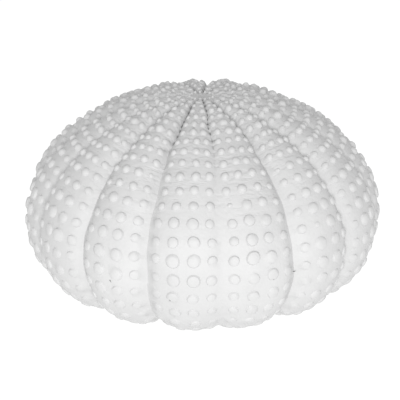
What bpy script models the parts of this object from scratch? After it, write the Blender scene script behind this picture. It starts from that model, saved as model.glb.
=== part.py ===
"""Sea urchin shell: one hollow round body, ribbed by fifteen valleys and set with rows of low knobs.

The shell stands on its mouth side. +Z runs from the mouth to the crown, -Y is the middle of one of its five
broad fields, and the origin is at the middle of the base. Units are metres.
"""

import math

import bmesh
import bpy

MM = 0.001

# Overall form, without knobs or valleys
RADIUS = 54.6 * MM
HEIGHT = 60.8 * MM
WAIST_HEIGHT = 22.9 * MM    # height of the widest ring
SEAT_RADIUS = 34.0 * MM     # ring that the shell stands on
SEAT_WEAR = 0.7 * MM        # depth worn flat along that ring
MOUTH_RADIUS = 15.0 * MM
MOUTH_LIFT = 4.0 * MM       # the base rises this much from the seat to the mouth
CROWN_DIMPLE = 1.2 * MM     # the crown sinks this much at its middle
DIMPLE_RADIUS = 7.0 * MM
WALL = 3.2 * MM

# Ribs, with a valley on each side. The one down the middle of each broad field is shallower.
RIBS = 15
RIBS_TO_A_FIELD = 3         # one of these three is the narrow field beside the broad one
STRONG_VALLEY = 2.5 * MM
WEAK_VALLEY = 1.6 * MM
VALLEY_SHARPNESS = 2.5      # 1 is a plain V from rib to rib, more is narrower
VALLEY_START = 3 * MM       # arc from the crown where valleys begin
VALLEY_FULL = 52 * MM       # and where they reach their full depth
MOUTH_VALLEY = 0.35         # share of the depth that is left at the mouth
INSIDE_VALLEY = 0.5         # share of the depth that shows inside the wall

# Knobs, four columns to a rib, in rows that ring the shell
COLUMNS_PER_RIB = 4
DISC_RADIUS = 2.1 * MM      # smooth disc at the crown
CROWN_ROW = 3.1 * MM        # spacing of rows next to the disc
WAIST_ROW = 5.7 * MM        # spacing of rows at the waist and below
WAIST_ARC = 70 * MM         # arc from the crown where the rows reach that spacing
ONE_COLUMN_TO = 9 * MM      # arc from the crown up to which a rib has one column
TWO_COLUMNS_TO = 26 * MM    # and up to which it has two
TWO_BELOW_RADIUS = 34 * MM  # on the base, a rib has two columns of cells again inside this radius
POINTS_TO = 12 * MM         # arc from the crown up to which knobs are points, flat-topped past it
KNOBS_TO = 88 * MM          # arc past which the base is plain
KNOB_HEIGHT = 1.1 * MM      # at the waist, and in proportion in smaller cells
KNOB_SLOPE = 0.25           # width of a flat-topped knob's slope, as a share of its cell

INNER_RINGS = 6
LIP_RINGS = 2

COLUMNS = RIBS * COLUMNS_PER_RIB
RIB_ANGLE = 2 * math.pi / RIBS
CURVE_STEPS = 600


def form_point(place):
    """A point (radius, height) on the smooth form: 0 is the crown, 1 the waist, 2 the seat and 3 the mouth."""
    if place <= 1:
        turn = place * math.pi / 2
        radius = RADIUS * math.sin(turn)
        height = WAIST_HEIGHT + (HEIGHT - WAIST_HEIGHT) * math.cos(turn)
        height -= CROWN_DIMPLE * math.exp(-((radius / DIMPLE_RADIUS) ** 2))
    elif place <= 2:
        turn = (place - 1) * math.pi / 2
        radius = SEAT_RADIUS + (RADIUS - SEAT_RADIUS) * math.cos(turn)
        height = WAIST_HEIGHT * (1 - math.sin(turn))
    else:
        inward = place - 2
        radius = SEAT_RADIUS - (SEAT_RADIUS - MOUTH_RADIUS) * inward
        height = MOUTH_LIFT * inward**2
    return radius, height - SEAT_WEAR


def form_curve():
    """Samples of the smooth form as (arc length from the crown, radius, height)."""
    samples = [(0.0, *form_point(0))]
    for step in range(1, CURVE_STEPS + 1):
        point = form_point(3 * step / CURVE_STEPS)
        arc = samples[-1][0] + math.dist(point, samples[-1][1:])
        samples.append((arc, *point))
    return samples


CURVE = form_curve()
SEAT_ARC = CURVE[2 * CURVE_STEPS // 3][0]
FULL_ARC = CURVE[-1][0]


def at_arc(arc):
    """The point (radius, height) of the smooth form and its outward normal, at an arc length."""
    later = next((i for i, sample in enumerate(CURVE) if sample[0] >= arc and i > 0), CURVE_STEPS)
    before, after = CURVE[later - 1], CURVE[later]
    length = after[0] - before[0]
    share = min(max((arc - before[0]) / length, 0.0), 1.0)
    along = ((after[1] - before[1]) / length, (after[2] - before[2]) / length)
    point = (before[1] + share * length * along[0], before[2] + share * length * along[1])
    return point, (-along[1], along[0])


def row_spacing(arc):
    """Spacing of the rows of knobs at an arc length from the crown."""
    return CROWN_ROW + (WAIST_ROW - CROWN_ROW) * min(arc / WAIST_ARC, 1.0)


def row_edges():
    """Arc lengths of the rings between the rows, from the crown's disc to the mouth."""
    edges = [DISC_RADIUS]
    while edges[-1] + 1.5 * row_spacing(edges[-1]) < FULL_ARC:
        edges.append(edges[-1] + row_spacing(edges[-1]))
    return edges + [FULL_ARC]


def valley_depth(azimuth, arc):
    """How far the surface lies under the smooth form, at an azimuth from -Y and an arc from the crown."""
    nearest = round(azimuth / RIB_ANGLE)
    away = abs(azimuth / RIB_ANGLE - nearest) * 2
    depth = WEAK_VALLEY if nearest % RIBS_TO_A_FIELD == 0 else STRONG_VALLEY
    growth = min(max((arc - VALLEY_START) / (VALLEY_FULL - VALLEY_START), 0.0), 1.0)
    fade = 1 - (1 - MOUTH_VALLEY) * max(arc - SEAT_ARC, 0.0) / (FULL_ARC - SEAT_ARC)
    return depth * growth * fade * max(1 - away, 0.0) ** VALLEY_SHARPNESS


class Ring:
    """One ring of vertices: its point on the profile, and the arc and normal that its valleys follow."""

    def __init__(self, arc, offset=0.0, valley=1.0):
        point, normal = at_arc(arc)
        self.arc = arc
        self.normal = normal
        self.point = (point[0] - offset * normal[0], point[1] - offset * normal[1])
        self.valley = valley


def shell_rings(edges):
    """Rings of the whole closed profile: outside from crown to mouth, round the lip, and inside back up."""
    rings = [Ring(0.0)] + [Ring(arc) for arc in edges]
    for step in range(1, LIP_RINGS + 1):
        turn = math.pi * step / (LIP_RINGS + 1)
        ring = Ring(FULL_ARC, WALL / 2 * (1 - math.cos(turn)), INSIDE_VALLEY * MOUTH_VALLEY)
        ring.point = (ring.point[0] - WALL / 2 * math.sin(turn), ring.point[1])
        rings.append(ring)
    for step in range(INNER_RINGS + 1):
        arc = FULL_ARC * (1 - step / INNER_RINGS)
        rings.append(Ring(arc, WALL, INSIDE_VALLEY))
    for pole in (rings[0], rings[-1]):
        pole.point = (0.0, pole.point[1])
    return rings


def spin_profile(bm, rings):
    """Turns the profile once round the axis, from -Y, and numbers every vertex with its ring."""
    number = bm.verts.layers.int.new("ring")
    profile = []
    for index, ring in enumerate(rings):
        vertex = bm.verts.new((0.0, -ring.point[0], ring.point[1]))
        vertex[number] = index
        profile.append(vertex)
    edges = [bm.edges.new(pair) for pair in zip(profile, profile[1:])]
    bmesh.ops.spin(
        bm, geom=profile + edges, cent=(0, 0, 0), axis=(0, 0, 1), dvec=(0, 0, 0),
        angle=2 * math.pi, steps=COLUMNS, use_merge=True, use_normal_flip=False, use_duplicate=False,
    )
    bmesh.ops.remove_doubles(bm, verts=bm.verts, dist=0.01 * MM)
    bmesh.ops.recalc_face_normals(bm, faces=bm.faces)
    return number


def azimuth_of(point):
    return math.atan2(point.x, -point.y)


def press_valleys(bm, number, rings):
    """Sinks every vertex along its ring's normal, and wears the seat flat."""
    for vertex in bm.verts:
        ring = rings[vertex[number]]
        azimuth = azimuth_of(vertex.co)
        depth = ring.valley * valley_depth(azimuth, ring.arc)
        vertex.co.x -= depth * ring.normal[0] * math.sin(azimuth)
        vertex.co.y += depth * ring.normal[0] * math.cos(azimuth)
        vertex.co.z = max(vertex.co.z - depth * ring.normal[1], 0.0)


def thin_columns(bm, number, first, last, keep_every):
    """Joins neighbouring columns between two rings, leaving one meridian in every keep_every."""
    extra = []
    for edge in bm.edges:
        ends = sorted(vertex[number] for vertex in edge.verts)
        if ends[0] == ends[1] or ends[0] < first or ends[1] > last:
            continue
        outer = max(edge.verts, key=lambda vertex: vertex.co.xy.length)
        column = round(azimuth_of(outer.co) * COLUMNS / (2 * math.pi))
        if column % keep_every:
            extra.append(edge)
    bmesh.ops.dissolve_edges(bm, edges=extra, use_verts=True, use_face_split=False)


def raise_knobs(bm, number, edges):
    """Raises one knob in every cell of the rows from the crown to where the base turns in."""
    rows = {}
    for face in bm.faces:
        ends = sorted({vertex[number] for vertex in face.verts})
        rows.setdefault((ends[0], ends[-1]), []).append(face)
    for row, (start, end) in enumerate(zip(edges, edges[1:]), 1):
        middle = (start + end) / 2
        if middle > KNOBS_TO:
            break
        cells = rows[(row, row + 1)]
        girth = 2 * math.pi * at_arc(middle)[0][0]
        cell_size = min(end - start, girth / len(cells))
        height = KNOB_HEIGHT * cell_size / WAIST_ROW
        if middle < POINTS_TO:
            bmesh.ops.poke(bm, faces=cells, offset=height, center_mode="MEAN")
        else:
            bmesh.ops.inset_individual(bm, faces=cells, thickness=KNOB_SLOPE * cell_size, depth=height)


def ceramic_white():
    """Matt white, like bleached shell or bisque."""
    material = bpy.data.materials.new("bleached_shell")
    material.use_nodes = True
    surface = material.node_tree.nodes["Principled BSDF"]
    surface.inputs["Base Color"].default_value = (0.84, 0.84, 0.83, 1.0)
    surface.inputs["Roughness"].default_value = 0.6
    surface.inputs["Metallic"].default_value = 0.0
    return material


def build_shell(collection):
    bm = bmesh.new()
    edges = row_edges()
    rings = shell_rings(edges)
    number = spin_profile(bm, rings)
    press_valleys(bm, number, rings)
    last = len(rings) - 1
    one_column = 1 + sum(arc < ONE_COLUMN_TO for arc in edges)
    two_columns = 1 + sum(arc < TWO_COLUMNS_TO for arc in edges)
    two_below = 1 + sum(arc < FULL_ARC - (TWO_BELOW_RADIUS - MOUTH_RADIUS) for arc in edges)
    thin_columns(bm, number, 0, one_column, COLUMNS_PER_RIB)
    thin_columns(bm, number, one_column, two_columns, COLUMNS_PER_RIB // 2)
    thin_columns(bm, number, two_below, last - 1, COLUMNS_PER_RIB // 2)
    thin_columns(bm, number, last - 1, last, COLUMNS_PER_RIB)
    raise_knobs(bm, number, edges)
    mesh = bpy.data.meshes.new("urchin_shell")
    bm.to_mesh(mesh)
    bm.free()
    mesh.shade_smooth()
    mesh.set_sharp_from_angle(angle=math.radians(40))
    mesh.materials.append(ceramic_white())
    collection.objects.link(bpy.data.objects.new("urchin_shell", mesh))


def main():
    for obj in list(bpy.data.objects):
        bpy.data.objects.remove(obj, do_unlink=True)
    collection = bpy.data.collections.new("sea_urchin_shell")
    bpy.context.scene.collection.children.link(collection)
    build_shell(collection)


main()
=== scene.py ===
"""Sea urchin shell: the fine surface, finish, stage and camera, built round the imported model.

Metres, +Z up. Azimuths are counted from -Y towards +X, and arcs are lengths along the shell's outer profile
from the middle of the crown.
"""

import math

import bmesh
import bpy
import numpy as np
from bpy.props import FloatProperty, FloatVectorProperty, IntProperty, PointerProperty
from mathutils import Matrix, Vector


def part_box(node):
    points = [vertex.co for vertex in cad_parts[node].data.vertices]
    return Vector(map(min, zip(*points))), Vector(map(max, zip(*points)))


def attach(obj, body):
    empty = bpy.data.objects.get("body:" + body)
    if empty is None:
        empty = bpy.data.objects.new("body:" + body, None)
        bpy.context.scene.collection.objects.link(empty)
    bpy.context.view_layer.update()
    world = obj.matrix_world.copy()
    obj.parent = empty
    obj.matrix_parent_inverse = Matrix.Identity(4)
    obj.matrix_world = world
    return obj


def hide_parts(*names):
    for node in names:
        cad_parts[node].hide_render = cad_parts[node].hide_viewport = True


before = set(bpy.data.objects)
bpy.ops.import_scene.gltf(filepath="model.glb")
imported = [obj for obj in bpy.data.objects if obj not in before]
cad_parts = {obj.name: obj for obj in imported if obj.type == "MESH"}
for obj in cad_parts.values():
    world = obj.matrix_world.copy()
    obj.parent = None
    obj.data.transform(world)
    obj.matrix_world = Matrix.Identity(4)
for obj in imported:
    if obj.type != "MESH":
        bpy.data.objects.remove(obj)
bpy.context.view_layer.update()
NODE = "urchin_shell"
LOWEST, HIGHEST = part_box(NODE)

bl_info = {
    "name": "Sea urchin shell",
    "version": (1, 0, 0),
    "blender": (4, 5, 0),
    "location": "3D View > Sidebar > Urchin",
    "description": "Models a bleached sea urchin shell with its knobs, valleys and pores, and a studio stage",
    "category": "Add Mesh",
}

MM = 0.001

# The smooth form, the same as the solid's
RADIUS = 54.6 * MM
HEIGHT = 60.8 * MM
WAIST_HEIGHT = 22.9 * MM
SEAT_RADIUS = 34.0 * MM
SEAT_WEAR = 0.7 * MM
MOUTH_RADIUS = 15.0 * MM
MOUTH_LIFT = 4.0 * MM
CROWN_DIMPLE = 1.2 * MM
DIMPLE_RADIUS = 7.0 * MM
WALL = 3.2 * MM
CURVE_STEPS = 1500

# Ribs and valleys, placed as in the solid
RIBS = 15
RIBS_TO_A_FIELD = 3
VALLEY_START = 3 * MM
VALLEY_FULL = 52 * MM
MOUTH_VALLEY = 0.35
INSIDE_VALLEY = 0.5
RIB_ANGLE = 2 * math.pi / RIBS
VALLEY_GROWTH = 0.45        # under 1, valleys deepen early on their way down
CREASE = 0.42               # share of a valley's depth that is in its steep crease
CREASE_SHARPNESS = 6
VALLEY_ROUND = 0.06         # share of half a rib that a valley's bottom is rounded over
SEAM_WIDTH = 0.26 * MM      # thread-thin open seam at the bottom of a valley, near the crown
SEAM_TO = 40 * MM           # arc where it closes, in most valleys
WEAK_SEAM_TO = 46 * MM      # and down the middle of a broad field
SEAM_END_SWAY = 3 * MM      # how far from those arcs single seams end
SEAM_FADE = 14 * MM         # arc that a seam takes to fade out
SEAM_BEGINS = (1.5 * MM, 4 * MM)        # arcs over which a seam opens, beside the crown
SEAM_THINS = (14 * MM, 38 * MM)         # arcs over which it gets less deep
SEAM_LOSS = 0.55            # and the share of its depth that it loses there
PORE_SPACING = 2.7 * MM     # the seam deepens into a pore at this spacing
PORE_SHARE = 0.38           # share of the seam's depth that comes and goes with its pores
PORE_STRAY = 1.3            # how far pores stray from even places, where their spacing is 2 pi
PORE_STRAY_ARC = 3 * MM     # and over what arc that comes and goes

# How a valley wanders sideways: by how far, over what arc, and how it differs from valley to valley
SWAYS = ((0.22 * MM, 4.2 * MM, 2), (0.12 * MM, 1.9 * MM, 5))
SWAY_BEGINS = (4 * MM, 12 * MM)         # arcs over which it starts to

# Rows of knobs, spaced as in the solid
DISC_RADIUS = 2.1 * MM
CROWN_ROW = 3.1 * MM
WAIST_ROW = 5.7 * MM
WAIST_ARC = 70 * MM
ONE_KNOB_TO = 7 * MM
TWO_KNOBS_TO = 17 * MM
THREE_KNOBS_TO = 26 * MM
CELL_STEPS = 8              # mesh steps across a knob's cell, along a row and along a column
KNOB_STEPS = (0, 0.25, 0.5, 0.75, 1.0)          # steps from the middle of a cell to its border
KNOB_REACH = (0, 0.52, 0.82, 1.0, 1.0)          # share of the knob's radius at each
KNOB_LEVELS = (1.0, 0.95, 0.72, 0.0, 0.0)       # and share of its height: a low dome with a steep side
PEAK_LEVELS = (1.0, 0.86, 0.48, 0.0, 0.0)       # the same near the crown, where the knobs are rounder
PEAKS_TO = 40 * MM          # arc that the rounder knobs reach
DISCS_FROM = 60 * MM        # and the one that the flatter ones start at
SMALLER_FROM = PEAKS_TO - 12 * MM       # from here down, knobs beside a valley get smaller than the rest
WORN_MOST = 0.75            # share of its height that the most worn knob has lost on one side
KNOB_ASIDE = 0.12           # how far knobs beside a valley stand away from it, against half a cell
STRAY_ACROSS = 0.16         # range of their places along a row, against half a cell
STRAY_DOWN = 0.2            # and from row to row
SIZE_FROM, SIZE_RANGE = 0.9, 0.18
TALL_FROM, TALL_RANGE = 0.8, 0.4
TINY_CHANCE = 0.02          # chance that a knob on the lower half stayed small
TINY_SIZE = 0.55            # and its size then

# The mesh: steps round and along, and columns of one rib where cells end, by the knobs in a row
COLUMNS = RIBS * 4 * CELL_STEPS
RIB_COLUMNS = COLUMNS // RIBS
CELL_BORDERS = {1: [0, 32], 2: [0, 16, 32], 3: [0, 10, 22, 32], 4: [0, 8, 16, 24, 32]}
DISC_RINGS = 5
LIP_RINGS = 6
INNER_RINGS = 26
SHARP_EDGES = math.radians(38)
TOLERANCE = 0.001 * MM      # far less than any step of the mesh

SEED = 7

# Share of its cell that a knob fills, at arcs from the crown
SHARE_ARCS = (8 * MM, 28 * MM, 48 * MM, 56 * MM, 66 * MM, 85 * MM)
SHARES = (0.72, 0.73, 0.61, 0.66, 0.72, 0.66)

# Height of the knobs against the tallest ones, at arcs from the crown
HEIGHT_ARCS = (10 * MM, 30 * MM, 50 * MM, 72 * MM, 84 * MM, 92 * MM)
HEIGHTS_THERE = (1.15, 1.25, 1.1, 0.8, 0.75, 0.5)

# Small dark pinholes that the photo shows: azimuth in degrees and arc in mm of each
PINHOLES = ((15.3, 73.9), (24.4, 74.8), (-16.0, 78.9), (-34.7, 75.1), (-68.0, 74.2))
PINHOLE_DEPTH = 0.15 * MM

# Fine relief and tints in the finish: grain and granules are drawn a little coarser than the real ones
CLOUD_SIZE = 9 * MM
CLOUD_TONE = 0.96           # brightness of the darker clouds against the rest
GRAIN_SIZE = 0.5 * MM
GRAIN_RELIEF = 0.12 * MM
GRANULE_SIZE = 1.1 * MM
GRANULE_RELIEF = 0.16 * MM
SUTURE_RELIEF = 0.3 * MM
SUTURE_SPACING = 1.6        # mm of arc from one suture to the next
SUTURE_STRETCH = 14         # mm of arc that a turn of one radian counts as, so that sutures run level
SUTURES_FADE = (44.0, 62.0)     # mm of arc over which they fade
CALCITE_IOR = 1.5

# What the camera aims at: a height on the shell's axis, then this much below it and to its left
AIM_HEIGHT = 28.9 * MM
AIM_BELOW = 3.6 * MM
AIM_LEFT = 0.67 * MM

# The key light, which aims at this height on the shell's axis, and the table
KEY_SPOT = (-0.085, -0.78, 0.24)
KEY_AIM_HEIGHT = 25 * MM
KEY_WIDTH = 0.3
TABLE_HALF = 3.0
TABLE_TONE = (0.16, 0.16, 0.16, 1)


def linear(hex_colour):
    """Linear values of an sRGB colour written as six hex digits."""
    values = [int(hex_colour[i:i + 2], 16) / 255 for i in (0, 2, 4)]
    return tuple(v / 12.92 if v <= 0.04045 else ((v + 0.055) / 1.055) ** 2.4 for v in values)


class UrchinShape(bpy.types.PropertyGroup):
    """Relief of the shell's outside."""

    knob_height: FloatProperty(
        name="Knob height", description="Height of a full-sized knob at the waist",
        default=0.95 * MM, min=0, max=1.2 * MM, unit="LENGTH", precision=5)
    knob_width: FloatProperty(
        name="Knob width", description="Width of the knobs against their measured width",
        default=1.0, min=0.5, max=1.2, subtype="FACTOR")
    beside_valley: FloatProperty(
        name="Knobs beside valleys", description="Size of the knobs next to a valley against the others",
        default=0.82, min=0.4, max=1, subtype="FACTOR")
    strong_valley: FloatProperty(
        name="Valleys", description="Depth of the valleys between the fields, at the waist",
        default=3.5 * MM, unit="LENGTH", precision=5)
    weak_valley: FloatProperty(
        name="Middle valleys", description="Depth of the valley down the middle of a broad field",
        default=1.5 * MM, unit="LENGTH", precision=5)
    slit_depth: FloatProperty(
        name="Seam depth", description="Depth of the narrow seam at the bottom of a valley, near the crown",
        default=0.6 * MM, unit="LENGTH", precision=5)
    seed: IntProperty(name="Seed", description="Number that settles the small irregularities", default=SEED)


class UrchinFinish(bpy.types.PropertyGroup):
    """Colours of the bleached shell."""

    bleached: FloatVectorProperty(
        name="Bleached shell", description="Colour of the clean, sun-bleached surface",
        default=linear("c8c8c8"), size=3, subtype="COLOR", min=0, max=1)
    # Painted shade: a dark colour put into the open seams and the pinholes in place of the shade inside them
    painted_hollow_shade: FloatVectorProperty(
        name="Hollows", description="Colour of the dust held in the open seams and pinholes",
        default=linear("6e6e6e"), size=3, subtype="COLOR", min=0, max=1)
    roughness: FloatProperty(
        name="Roughness", description="Roughness of the dry chalky surface",
        default=0.62, min=0, max=1, subtype="FACTOR")


class UrchinStage(bpy.types.PropertyGroup):
    """Camera and studio."""

    elevation: FloatProperty(
        name="Camera elevation", description="Angle that the camera looks down by",
        default=math.radians(22.0), subtype="ANGLE")
    azimuth: FloatProperty(
        name="Camera azimuth", description="Azimuth that the camera stands at",
        default=math.radians(-6.0), subtype="ANGLE")
    roll: FloatProperty(
        name="Camera roll", description="Tilt of the camera about its own line of sight",
        default=math.radians(-0.5), subtype="ANGLE")
    distance: FloatProperty(
        name="Camera distance", description="From the camera to the middle of the shell",
        default=450 * MM, unit="LENGTH")
    lens: FloatProperty(
        name="Lens", description="Focal length, for a sensor 36 mm wide", default=130.1, unit="CAMERA")
    key_strength: FloatProperty(
        name="Key light", description="Power of the broad soft light beside the camera, in watts",
        default=4.0)
    sky_strength: FloatProperty(
        name="Surroundings", description="Brightness of the even white surroundings", default=0.71)
    floor_glow: FloatProperty(
        name="Floor glow", description="Light that the white table gives by itself", default=0.92)


def form_curve():
    """The smooth profile, finely sampled: arcs, radii, heights and the outward normal's two parts."""
    turn = np.linspace(0, math.pi / 2, CURVE_STEPS)
    dome_r = RADIUS * np.sin(turn)
    dome_z = WAIST_HEIGHT + (HEIGHT - WAIST_HEIGHT) * np.cos(turn)
    dome_z -= CROWN_DIMPLE * np.exp(-((dome_r / DIMPLE_RADIUS) ** 2))
    side_r = SEAT_RADIUS + (RADIUS - SEAT_RADIUS) * np.cos(turn[1:])
    side_z = WAIST_HEIGHT * (1 - np.sin(turn[1:]))
    inward = np.linspace(0, 1, CURVE_STEPS)[1:]
    base_r = SEAT_RADIUS - (SEAT_RADIUS - MOUTH_RADIUS) * inward
    base_z = MOUTH_LIFT * inward**2
    radii = np.concatenate([dome_r, side_r, base_r])
    heights = np.concatenate([dome_z, side_z, base_z]) - SEAT_WEAR
    arcs = np.concatenate([[0], np.cumsum(np.hypot(np.diff(radii), np.diff(heights)))])
    return arcs, radii, heights, -np.gradient(heights, arcs), np.gradient(radii, arcs)


ARCS, RADII, HEIGHTS, NORMALS_R, NORMALS_Z = form_curve()
FULL_ARC = ARCS[-1]
SEAT_ARC = ARCS[2 * CURVE_STEPS - 2]


def form_at(arcs):
    """Radius, height and outward normal of the smooth form at these arcs."""
    return tuple(np.interp(arcs, ARCS, values) for values in (RADII, HEIGHTS, NORMALS_R, NORMALS_Z))


def row_spacing(arc):
    return CROWN_ROW + (WAIST_ROW - CROWN_ROW) * min(arc / WAIST_ARC, 1.0)


def row_edges():
    """Arcs of the rings between the rows, from the crown's disc to the mouth, as in the solid."""
    edges = [DISC_RADIUS]
    while edges[-1] + 1.5 * row_spacing(edges[-1]) < FULL_ARC:
        edges.append(edges[-1] + row_spacing(edges[-1]))
    return np.array(edges + [FULL_ARC])


EDGES = row_edges()
ROWS = len(EDGES) - 1


def smooth_step(values, low, high):
    """0 below low, 1 above high, with an eased rise between."""
    share = np.clip((values - low) / (high - low), 0, 1)
    return share * share * (3 - 2 * share)


def shell_profile():
    """Rings of the closed profile: arc, inward offset and tuck of each, and how many are outside."""
    disc = np.linspace(0, EDGES[0], DISC_RINGS + 1)[:-1]
    rows = [np.linspace(a, b, CELL_STEPS + 1)[:-1] for a, b in zip(EDGES, EDGES[1:])]
    outer = np.concatenate([disc, *rows, [FULL_ARC]])
    lip_turn = np.linspace(0, math.pi, LIP_RINGS + 2)[1:-1]
    lip = np.full(LIP_RINGS, FULL_ARC)
    inner = np.linspace(FULL_ARC, 0, INNER_RINGS + 1)
    arcs = np.concatenate([outer, lip, inner])
    lip_offsets = WALL / 2 * (1 - np.cos(lip_turn))
    offsets = np.concatenate([np.zeros(len(outer)), lip_offsets, np.full(len(inner), WALL)])
    tucks = np.concatenate([np.zeros(len(outer)), WALL / 2 * np.sin(lip_turn), np.zeros(len(inner))])
    return arcs, offsets, tucks, len(outer)


def thin_columns(bm, number, first, last, keep_every):
    """Joins neighbouring columns between two rings, leaving one meridian in every keep_every."""
    extra = []
    for edge in bm.edges:
        low, high = sorted(vertex[number] for vertex in edge.verts)
        if low == high or low < first or high > last:
            continue
        outer = max(edge.verts, key=lambda vertex: vertex.co.xy.length)
        column = round(math.atan2(outer.co.x, -outer.co.y) * COLUMNS / (2 * math.pi))
        if column % keep_every:
            extra.append(edge)
    bmesh.ops.dissolve_edges(bm, edges=extra, use_verts=True, use_face_split=False)


def spin_shell(arcs, offsets, tucks, outer_count):
    """The smooth hollow shell, spun from its profile, with each vertex numbered by its ring."""
    radii, heights, normals_r, normals_z = form_at(arcs)
    radii = radii - offsets * normals_r - tucks
    heights = heights - offsets * normals_z
    radii[[0, -1]] = 0
    bm = bmesh.new()
    number = bm.verts.layers.int.new("ring")
    profile = []
    for index, (radius, height) in enumerate(zip(radii, heights)):
        vertex = bm.verts.new((0, -radius, height))
        vertex[number] = index
        profile.append(vertex)
    edges = [bm.edges.new(pair) for pair in zip(profile, profile[1:])]
    bmesh.ops.spin(
        bm, geom=profile + edges, cent=(0, 0, 0), axis=(0, 0, 1), dvec=(0, 0, 0),
        angle=2 * math.pi, steps=COLUMNS, use_merge=True, use_normal_flip=False, use_duplicate=False)
    bmesh.ops.remove_doubles(bm, verts=bm.verts, dist=2 * TOLERANCE)
    bmesh.ops.recalc_face_normals(bm, faces=bm.faces)

    def ring_at(arc):
        return int(np.searchsorted(arcs[:outer_count], arc - TOLERANCE))

    last = len(arcs) - 1
    near_crown = ring_at(EDGES[EDGES >= ONE_KNOB_TO][0])
    near_mouth = ring_at(EDGES[EDGES >= SEAT_ARC][0])
    # First and last ring of each stretch that has fewer columns, and how many are made one there
    stretches = (
        (0, 1, 16), (1, near_crown, 4), (near_mouth, outer_count - 1, 2),
        (outer_count - 1, last - 3, 4), (last - 3, last, 16))
    for begin, end, keep_every in stretches:
        thin_columns(bm, number, begin, end, keep_every)
    mesh = bpy.data.meshes.new("shell")
    bm.to_mesh(mesh)
    bm.free()
    return mesh


def knob_cells(rings, columns):
    """For each outer vertex: row, rib, knob's number and how many share the rib there, place in the cell
    (-1 to 1 across and down), and the azimuth and angular width of the cell."""
    steps = rings - DISC_RINGS
    rows = np.clip(steps // CELL_STEPS, 0, ROWS - 1)
    down = (steps - rows * CELL_STEPS) / CELL_STEPS * 2 - 1
    middles = (EDGES[rows] + EDGES[rows + 1]) / 2
    ribs, in_rib = np.divmod(columns, RIB_COLUMNS)
    knobs = np.select(
        [middles < ONE_KNOB_TO, middles < TWO_KNOBS_TO, middles < THREE_KNOBS_TO], [1, 2, 3], 4)
    knobs = np.where((knobs == 4) & (middles > SEAT_ARC), 2, knobs)
    number = np.zeros(len(rings), int)
    left = np.zeros(len(rings))
    right = np.zeros(len(rings))
    for count, borders in CELL_BORDERS.items():
        chosen = knobs == count
        place = np.clip(np.searchsorted(borders, in_rib[chosen], side="right") - 1, 0, count - 1)
        number[chosen] = place
        left[chosen] = np.array(borders)[place]
        right[chosen] = np.array(borders)[place + 1]
    across = (in_rib - left) / (right - left) * 2 - 1
    centre = (ribs * RIB_COLUMNS + (left + right) / 2) / COLUMNS * 2 * math.pi
    width = (right - left) / COLUMNS * 2 * math.pi
    return rows, ribs, number, knobs, across, down, centre, width


def valley_depth(shape, azimuths, arcs):
    """Depth of the valleys and of the seams at their bottoms, and a mask of the seams for the finish."""
    place = azimuths / RIB_ANGLE
    nearest = np.round(place)
    away = np.abs(place - nearest) * 2
    weak = nearest % RIBS_TO_A_FIELD == 0
    full = np.where(weak, shape.weak_valley, shape.strong_valley)
    growth = np.clip((arcs - VALLEY_START) / (VALLEY_FULL - VALLEY_START), 0, 1)
    fade = 1 - (1 - MOUTH_VALLEY) * np.clip((arcs - SEAT_ARC) / (FULL_ARC - SEAT_ARC), 0, 1)
    near = np.maximum(1 + VALLEY_ROUND / 2 - np.hypot(away, VALLEY_ROUND), 0)
    broad = full * fade * growth**VALLEY_GROWTH * ((1 - CREASE) * near**2 + CREASE * near**CREASE_SHARPNESS)
    side = away / 2 * RIB_ANGLE * np.interp(arcs, ARCS, RADII)
    last = np.where(weak, WEAK_SEAM_TO, SEAM_TO) + SEAM_END_SWAY * np.sin(5 * nearest)
    along = smooth_step(arcs, *SEAM_BEGINS) * (1 - smooth_step(arcs, last - SEAM_FADE, last))
    stray = PORE_STRAY * np.sin(arcs / PORE_STRAY_ARC)
    pore_turn = arcs / PORE_SPACING * 2 * math.pi + 4 * nearest + stray
    uneven = 1 - PORE_SHARE + PORE_SHARE * np.sin(pore_turn)
    thinning = 1 - SEAM_LOSS * smooth_step(arcs, *SEAM_THINS)
    seam = np.exp(-((side / SEAM_WIDTH) ** 2)) * along * uneven * thinning
    return broad + shape.slit_depth * seam, seam


def pinhole_mask(azimuths, arcs):
    """1 at the vertex nearest to each pinhole, 0 elsewhere."""
    mask = np.zeros(len(arcs))
    for turn, arc in PINHOLES:
        aside = (azimuths - math.radians(turn) + math.pi) % (2 * math.pi) - math.pi
        mask[np.argmin(np.hypot(aside * RADIUS, arcs - arc * MM))] = 1
    return mask


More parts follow.
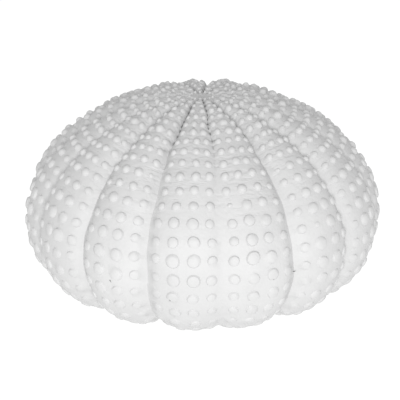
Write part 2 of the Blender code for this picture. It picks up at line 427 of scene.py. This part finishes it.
def shape_outside(shape, rings, columns, arcs):
    """Moves the outer vertices: round knobs pulled out of the square cells, valleys and seams pressed in."""
    rng = np.random.default_rng(shape.seed)
    rows, ribs, number, knobs, across, down, centre, width = knob_cells(rings, columns)
    chances = rng.random((ROWS, RIBS, 4, 7))[rows, ribs, number]
    for_size, for_tiny, for_across, for_down, for_height, for_side, for_wear = chances.T
    middle = (EDGES[rows] + EDGES[rows + 1]) / 2
    radius = np.interp(middle, ARCS, RADII)
    half_across = radius * width / 2
    half_down = (EDGES[rows + 1] - EDGES[rows]) / 2
    beside = (number == 0) | (number == knobs - 1)
    size = shape.knob_width * np.interp(middle, SHARE_ARCS, SHARES) * np.minimum(half_across, half_down)
    smaller = 1 - (1 - shape.beside_valley) * smooth_step(middle, SMALLER_FROM, DISCS_FROM)
    size = size * np.where(beside & (knobs > 2), smaller, 1.0) * (SIZE_FROM + SIZE_RANGE * for_size)
    size = np.where((for_tiny < TINY_CHANCE) & (middle > PEAKS_TO), TINY_SIZE * size, size)

    # Squares round the middle of a cell become circles, and only its border stays square
    square = np.maximum(np.abs(across), np.abs(down))
    wide = np.abs(across) >= np.abs(down)
    safe = np.where(square > 0, square, 1.0)
    longer = np.where(wide, across, down)
    ratio = np.where(wide, down, across) / np.where(longer == 0, 1.0, longer)
    angle = np.where(wide, math.pi / 4 * ratio, math.pi / 2 - math.pi / 4 * ratio)
    angle = angle + np.where(longer < 0, math.pi, 0)
    reach = np.interp(square, KNOB_STEPS, KNOB_REACH)
    foot = KNOB_STEPS[3]
    to_border = np.clip((square - foot) / (1 - foot), 0, 1)
    from_valley = np.where(knobs > 2, (number == 0) * 1.0 - (number == knobs - 1) * 1.0, 0)
    aside = from_valley * KNOB_ASIDE * half_across
    round_x = size * reach * np.cos(angle) + aside + (for_across - 0.5) * STRAY_ACROSS * half_across
    round_y = size * reach * np.sin(angle) + (for_down - 0.5) * STRAY_DOWN * half_down
    border_x = across / safe * half_across
    border_y = down / safe * half_down
    x = (1 - to_border) * round_x + to_border * border_x
    y = (1 - to_border) * round_y + to_border * border_y

    in_rows = rings >= DISC_RINGS
    azimuth = np.where(in_rows, centre + x / np.maximum(radius, MM), columns / COLUMNS * 2 * math.pi)
    arc = np.where(in_rows, middle + y, arcs)
    tall = shape.knob_height * np.interp(middle, HEIGHT_ARCS, HEIGHTS_THERE)
    tall = tall * (TALL_FROM + TALL_RANGE * for_height)
    tall = tall * size / (np.interp(middle, SHARE_ARCS, SHARES) * half_down)
    flat = smooth_step(middle, PEAKS_TO, DISCS_FROM)
    level = (1 - flat) * np.interp(square, KNOB_STEPS, PEAK_LEVELS)
    level = level + flat * np.interp(square, KNOB_STEPS, KNOB_LEVELS)
    worn_side = np.clip(np.cos(angle - 2 * math.pi * for_side), 0, 1)
    level = level * (1 - WORN_MOST * flat * for_wear**2 * worn_side * np.minimum(2 * square, 1))
    level = np.where(in_rows, level, 0)
    depth, seam = valley_depth(shape, azimuth, arc)
    nearest = np.round(azimuth / RIB_ANGLE)
    sway = sum(most * np.sin(arc / along + phase * nearest) for most, along, phase in SWAYS)
    sway = sway * smooth_step(arc, *SWAY_BEGINS)
    azimuth = azimuth + np.where(in_rows, sway / np.maximum(radius, MM), 0)
    pits = pinhole_mask(azimuth, arc)
    return azimuth, arc, tall * level - depth - PINHOLE_DEPTH * pits, seam, level, pits


def build_shell(shape):
    """The whole shell as one closed mesh, with what its finish reads stored on its points."""
    arcs, offsets, tucks, outer_count = shell_profile()
    mesh = spin_shell(arcs, offsets, tucks, outer_count)
    count = len(mesh.vertices)
    points = np.empty(count * 3)
    mesh.vertices.foreach_get("co", points)
    points = points.reshape(-1, 3)
    rings = np.empty(count, int)
    mesh.attributes["ring"].data.foreach_get("value", rings)
    turns = np.arctan2(points[:, 0], -points[:, 1]) / (2 * math.pi)
    columns = np.round(turns * COLUMNS).astype(int) % COLUMNS

    outside = rings < outer_count
    azimuth, arc, lift, seam, on_knob, pinhole = shape_outside(
        shape, rings[outside], columns[outside], arcs[rings[outside]])
    radii, heights, normals_r, normals_z = form_at(arc)
    radii = np.maximum(radii + lift * normals_r, 0)
    radii[rings[outside] == 0] = 0
    points[outside, 0] = radii * np.sin(azimuth)
    points[outside, 1] = -radii * np.cos(azimuth)
    points[outside, 2] = heights + lift * normals_z

    inside = ~outside
    inner_arc = arcs[rings[inside]]
    inner_azimuth = columns[inside] / COLUMNS * 2 * math.pi
    depth, _ = valley_depth(shape, inner_azimuth, inner_arc)
    round_lip = np.minimum((rings[inside] - outer_count + 1) / (LIP_RINGS + 1), 1)
    share = 1 - (1 - INSIDE_VALLEY) * round_lip
    _, _, normals_r, normals_z = form_at(inner_arc)
    depth = depth * share
    points[inside, 0] -= depth * normals_r * np.sin(inner_azimuth)
    points[inside, 1] += depth * normals_r * np.cos(inner_azimuth)
    points[inside, 2] -= depth * normals_z

    points = np.clip(points, np.array(LOWEST), np.array(HIGHEST))
    mesh.vertices.foreach_set("co", points.ravel())
    for name, values in (("seam", seam), ("on_knob", on_knob), ("pinhole", pinhole), ("arc", arc / MM)):
        whole = np.zeros(count, np.float32)
        whole[outside] = values
        mesh.attributes.new(name, "FLOAT", "POINT").data.foreach_set("value", whole)
    mesh.update()
    mesh.shade_smooth()
    mesh.set_sharp_from_angle(angle=SHARP_EDGES)
    return mesh


def add_node(tree, kind, settings=None, links=None):
    """Adds a node. Settings are its properties or inputs by name, and links are sockets by input."""
    node = tree.nodes.new(kind)
    for name, value in (settings or {}).items():
        if hasattr(node, name):
            setattr(node, name, value)
        else:
            node.inputs[name].default_value = value
    for name, socket in (links or {}).items():
        tree.links.new(socket, node.inputs[name])
    return node


def empty_material(name):
    material = bpy.data.materials.new(name)
    material.use_nodes = True
    material.node_tree.nodes.clear()
    return material


def bleached_calcite(finish):
    """Urchin shell bleached by sun and sea: dry porous calcite, dead white, with painted shade darkening its
    seams and pinholes.
    """
    material = empty_material("bleached_calcite")
    tree = material.node_tree
    place = add_node(tree, "ShaderNodeTexCoord").outputs["Object"]
    seam, pinhole, on_knob, arc = (
        add_node(tree, "ShaderNodeAttribute", {"attribute_name": name}).outputs["Fac"]
        for name in ("seam", "pinhole", "on_knob", "arc"))

    # Colour: faint clouds, and painted shade in the seams and the pinholes
    blotch = add_node(
        tree, "ShaderNodeTexNoise", {"Scale": 1 / CLOUD_SIZE, "Detail": 3.0},
        {"Vector": place}).outputs["Fac"]
    cloud = add_node(
        tree, "ShaderNodeMapRange", {"From Min": 0.35, "From Max": 0.65, "To Min": CLOUD_TONE, "To Max": 1.0},
        {"Value": blotch}).outputs["Result"]
    # Painted shade along the seams and in the pinholes: these masks darken the colour there
    painted_seam_shade = add_node(
        tree, "ShaderNodeMapRange", {"From Min": 0.3, "From Max": 0.8}, {"Value": seam}).outputs["Result"]
    painted_pinhole_shade = add_node(
        tree, "ShaderNodeMapRange", {"From Min": 0.6, "From Max": 0.8}, {"Value": pinhole}).outputs["Result"]
    dark = add_node(tree, "ShaderNodeMath", {"operation": "MAXIMUM"}, {0: painted_seam_shade, 1: painted_pinhole_shade}).outputs["Value"]
    tone = add_node(
        tree, "ShaderNodeMixRGB", {"Color1": (*finish.bleached, 1), "Color2": (*finish.painted_hollow_shade, 1)},
        {"Fac": dark}).outputs["Color"]
    shade = add_node(
        tree, "ShaderNodeVectorMath", {"operation": "SCALE"}, {"Scale": cloud, 0: tone}).outputs["Vector"]

    # Sutures between the plates: short level grooves, round the shell, on its upper half
    level = add_node(tree, "ShaderNodeVectorMath", {"operation": "MULTIPLY"}, {0: place})
    level.inputs[1].default_value = (1, 1, 0)
    around = add_node(tree, "ShaderNodeVectorMath", {"operation": "NORMALIZE"}, {0: level.outputs["Vector"]})
    along = add_node(tree, "ShaderNodeCombineXYZ", links={"Z": arc}).outputs["Vector"]
    ringed = add_node(
        tree, "ShaderNodeVectorMath", {"operation": "MULTIPLY_ADD"}, {0: around.outputs["Vector"], 2: along})
    ringed.inputs[1].default_value = (SUTURE_STRETCH, SUTURE_STRETCH, 0)
    suture = add_node(
        tree, "ShaderNodeTexNoise", {"Scale": 1 / SUTURE_SPACING, "Detail": 2.0},
        {"Vector": ringed.outputs["Vector"]}).outputs["Fac"]
    groove = add_node(
        tree, "ShaderNodeMapRange", {"From Min": 0.3, "From Max": 0.5}, {"Value": suture}).outputs["Result"]
    upper = add_node(
        tree, "ShaderNodeMapRange",
        {"From Min": SUTURES_FADE[0], "From Max": SUTURES_FADE[1], "To Min": 1.0, "To Max": 0.12},
        {"Value": arc}).outputs["Result"]
    between = add_node(
        tree, "ShaderNodeMapRange", {"From Max": 0.4, "To Min": 1.0, "To Max": 0.25},
        {"Value": on_knob}).outputs["Result"]
    where = add_node(
        tree, "ShaderNodeMath", {"operation": "MULTIPLY"}, {0: upper, 1: between}).outputs["Value"]
    grooves = add_node(
        tree, "ShaderNodeMath", {"operation": "MULTIPLY"}, {0: groove, 1: where}).outputs["Value"]

    # Grain of the porous calcite, and the small round granules on it, highest at their middles
    grain = add_node(
        tree, "ShaderNodeTexNoise", {"Scale": 1 / GRAIN_SIZE, "Detail": 4.0, "Roughness": 0.6},
        {"Vector": place}).outputs["Fac"]
    granules = add_node(
        tree, "ShaderNodeTexVoronoi", {"feature": "SMOOTH_F1", "Scale": 1 / GRANULE_SIZE, "Smoothness": 0.4},
        {"Vector": place}).outputs["Distance"]

    bump = add_node(
        tree, "ShaderNodeBump", {"Strength": 0.35, "Distance": GRAIN_RELIEF},
        {"Height": grain}).outputs["Normal"]
    bump = add_node(
        tree, "ShaderNodeBump", {"Strength": 0.4, "Distance": GRANULE_RELIEF, "invert": True},
        {"Height": granules, "Normal": bump}).outputs["Normal"]
    bump = add_node(
        tree, "ShaderNodeBump", {"Strength": 0.5, "Distance": SUTURE_RELIEF},
        {"Height": grooves, "Normal": bump}).outputs["Normal"]
    surface = add_node(
        tree, "ShaderNodeBsdfPrincipled", {"Roughness": finish.roughness, "IOR": CALCITE_IOR},
        {"Base Color": shade, "Normal": bump})
    add_node(tree, "ShaderNodeOutputMaterial", links={"Surface": surface.outputs["BSDF"]})
    return material


def add_object(name, mesh):
    obj = bpy.data.objects.new(name, mesh)
    bpy.context.scene.collection.objects.link(obj)
    return obj


class URCHIN_OT_shell(bpy.types.Operator):
    """Model the shell and give it its finish"""

    bl_idname = "urchin.shell"
    bl_label = "Shell"

    def execute(self, context):
        scene = context.scene
        shell = add_object("shell", build_shell(scene.urchin_shape))
        shell.data.materials.append(bleached_calcite(scene.urchin_finish))
        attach(shell, "root")
        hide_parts(NODE)
        return {"FINISHED"}


def white_table(glow):
    """White translucent acrylic table lit from below: even, nearly white, with a faint contact shadow."""
    material = empty_material("white_acrylic_table")
    tree = material.node_tree
    surface = add_node(
        tree, "ShaderNodeBsdfPrincipled",
        {"Base Color": TABLE_TONE, "Roughness": 0.8, "Specular IOR Level": 0.0,
         "Emission Color": (1, 1, 1, 1), "Emission Strength": glow})
    add_node(tree, "ShaderNodeOutputMaterial", links={"Surface": surface.outputs["BSDF"]})
    return material


def place_camera(stage):
    """A camera at the photograph's angle, aimed so that the shell stands where the photograph has it."""
    middle = Vector((0, 0, AIM_HEIGHT))
    away = Vector((
        math.cos(stage.elevation) * math.sin(stage.azimuth),
        -math.cos(stage.elevation) * math.cos(stage.azimuth),
        math.sin(stage.elevation)))
    camera = bpy.data.objects.new("camera", bpy.data.cameras.new("camera"))
    turn = away.to_track_quat("Z", "Y").to_matrix()
    turn = turn @ Matrix.Rotation(stage.roll, 3, "Z")
    right, up = turn.col[0], turn.col[1]
    spot = middle + away * stage.distance - right * AIM_LEFT - up * AIM_BELOW
    camera.matrix_world = Matrix.Translation(spot) @ turn.to_4x4()
    camera.data.lens = stage.lens
    camera.data.sensor_width = 36
    camera.data.clip_start = 0.01
    bpy.context.scene.collection.objects.link(camera)
    bpy.context.scene.camera = camera


class URCHIN_OT_stage(bpy.types.Operator):
    """Set up the table, the lights and the camera"""

    bl_idname = "urchin.stage"
    bl_label = "Stage"

    def execute(self, context):
        scene = context.scene
        stage = scene.urchin_stage
        bm = bmesh.new()
        bmesh.ops.create_grid(bm, x_segments=1, y_segments=1, size=TABLE_HALF)
        mesh = bpy.data.meshes.new("table")
        bm.to_mesh(mesh)
        bm.free()
        table = add_object("table", mesh)
        mesh.materials.append(white_table(stage.floor_glow))

        world = bpy.data.worlds.new("studio")
        world.use_nodes = True
        background = world.node_tree.nodes["Background"]
        background.inputs["Color"].default_value = (1, 1, 1, 1)
        background.inputs["Strength"].default_value = stage.sky_strength
        scene.world = world

        light = bpy.data.lights.new("key", "AREA")
        light.shape = "DISK"
        light.size = KEY_WIDTH
        light.energy = stage.key_strength
        key = bpy.data.objects.new("key", light)
        spot = Vector(KEY_SPOT)
        aim = spot - Vector((0, 0, KEY_AIM_HEIGHT))
        key.matrix_world = Matrix.Translation(spot) @ aim.to_track_quat("Z", "Y").to_matrix().to_4x4()
        scene.collection.objects.link(key)

        scene.view_settings.view_transform = "Standard"
        place_camera(stage)
        return {"FINISHED"}


class URCHIN_PT_panel(bpy.types.Panel):
    """The shell's settings and buttons"""

    bl_label = "Sea urchin shell"
    bl_idname = "URCHIN_PT_panel"
    bl_space_type = "VIEW_3D"
    bl_region_type = "UI"
    bl_category = "Urchin"

    def draw(self, context):
        scene = context.scene
        for group in (scene.urchin_shape, scene.urchin_finish, scene.urchin_stage):
            for name in group.__annotations__:
                self.layout.prop(group, name)
        self.layout.operator("urchin.shell")
        self.layout.operator("urchin.stage")


CLASSES = (UrchinShape, UrchinFinish, UrchinStage, URCHIN_OT_shell, URCHIN_OT_stage, URCHIN_PT_panel)


def register():
    for cls in CLASSES:
        bpy.utils.register_class(cls)
    bpy.types.Scene.urchin_shape = PointerProperty(type=UrchinShape)
    bpy.types.Scene.urchin_finish = PointerProperty(type=UrchinFinish)
    bpy.types.Scene.urchin_stage = PointerProperty(type=UrchinStage)


def unregister():
    del bpy.types.Scene.urchin_shape
    del bpy.types.Scene.urchin_finish
    del bpy.types.Scene.urchin_stage
    for cls in reversed(CLASSES):
        bpy.utils.unregister_class(cls)


def main():
    register()
    bpy.ops.urchin.stage()
    bpy.ops.urchin.shell()


if __name__ == "__main__":
    main()
